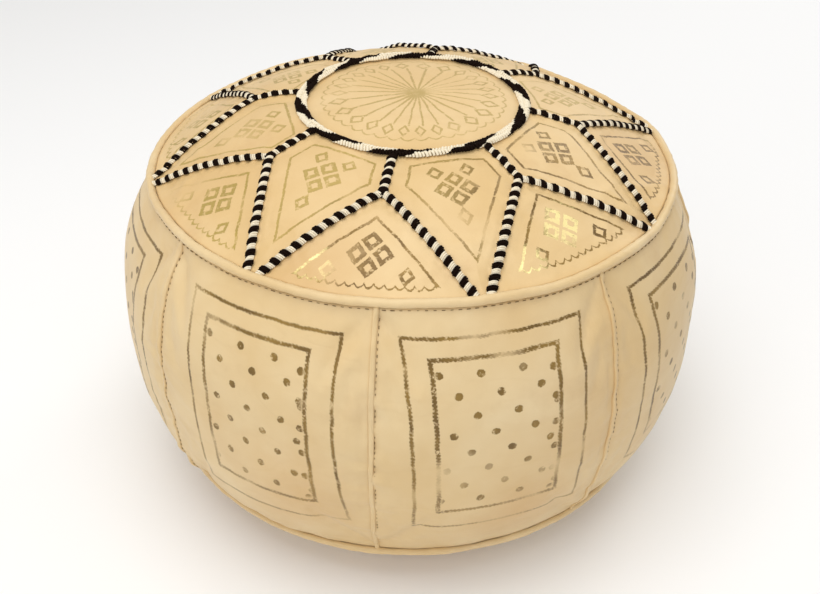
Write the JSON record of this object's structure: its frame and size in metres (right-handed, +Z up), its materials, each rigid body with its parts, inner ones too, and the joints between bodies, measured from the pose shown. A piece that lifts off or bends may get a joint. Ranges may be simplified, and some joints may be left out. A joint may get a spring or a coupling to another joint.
{
  "type": "leather pouf",
  "caption": "Round stuffed leather pouf: a pieced and braided crown, panelled sides with welted seams, piped rims, and a zip that opens the base.",
  "frame": {"origin": "middle of the base, on the floor it stands on", "axes": "+Z up through the middle of the crown, X along the zip, a kite's tip towards -Y"},
  "size_m": [0.5078, 0.5078, 0.35],
  "materials": {
    "leather": "satin",
    "braid": "matte",
    "cord": "matte",
    "stuffing": "matte",
    "tape": "matte",
    "coil": "satin",
    "brass": "satin"
  },
  "bodies": {
    "cover": {"crown_medallion": "leather", "crown_kite_1": "leather", "crown_kite_2": "leather", "crown_kite_3": "leather", "crown_kite_4": "leather", "crown_kite_5": "leather", "crown_kite_6": "leather", "crown_kite_7": "leather", "crown_kite_8": "leather", "crown_triangle_1": "leather", "crown_triangle_2": "leather", "crown_triangle_3": "leather", "crown_triangle_4": "leather", "crown_triangle_5": "leather", "crown_triangle_6": "leather", "crown_triangle_7": "leather", "crown_triangle_8": "leather", "side_panel_1": "leather", "side_panel_2": "leather", "side_panel_3": "leather", "side_panel_4": "leather", "side_panel_5": "leather", "side_panel_6": "leather", "side_panel_7": "leather", "side_panel_8": "leather", "side_welt_1": "leather", "side_welt_2": "leather", "side_welt_3": "leather", "side_welt_4": "leather", "side_welt_5": "leather", "side_welt_6": "leather", "side_welt_7": "leather", "side_welt_8": "leather", "base_half_front": "leather", "base_half_back": "leather", "top_piping_cover": "leather", "base_piping_cover": "leather", "braid_ring": "braid", "seam_braid_1": "braid", "seam_braid_2": "braid", "seam_braid_3": "braid", "seam_braid_4": "braid", "seam_braid_5": "braid", "seam_braid_6": "braid", "seam_braid_7": "braid", "seam_braid_8": "braid", "top_piping_cord": "cord", "base_piping_cord": "cord", "stuffing": "stuffing", "zip_tape_front": "tape", "zip_tape_back": "tape", "zip_coil_front": "coil", "zip_coil_back": "coil", "zip_top_stop_front": "brass", "zip_top_stop_back": "brass", "zip_bottom_stop": "brass"},
    "zip_slider": {"zip_slider": "brass"},
    "zip_pull": {"zip_pull": "brass"}
  },
  "joints": [
    {"name": "zip_slide", "type": "slide", "parent": "cover", "child": "zip_slider", "axis": [1, 0, 0], "range_m": [-0.286, 0]},
    {"name": "zip_pull_swing", "type": "hinge", "parent": "zip_slider", "child": "zip_pull", "pos_m": [0.1432, 0, 0.0063], "axis": [0, -1, 0], "range_deg": [-11, 168]}
  ]
}
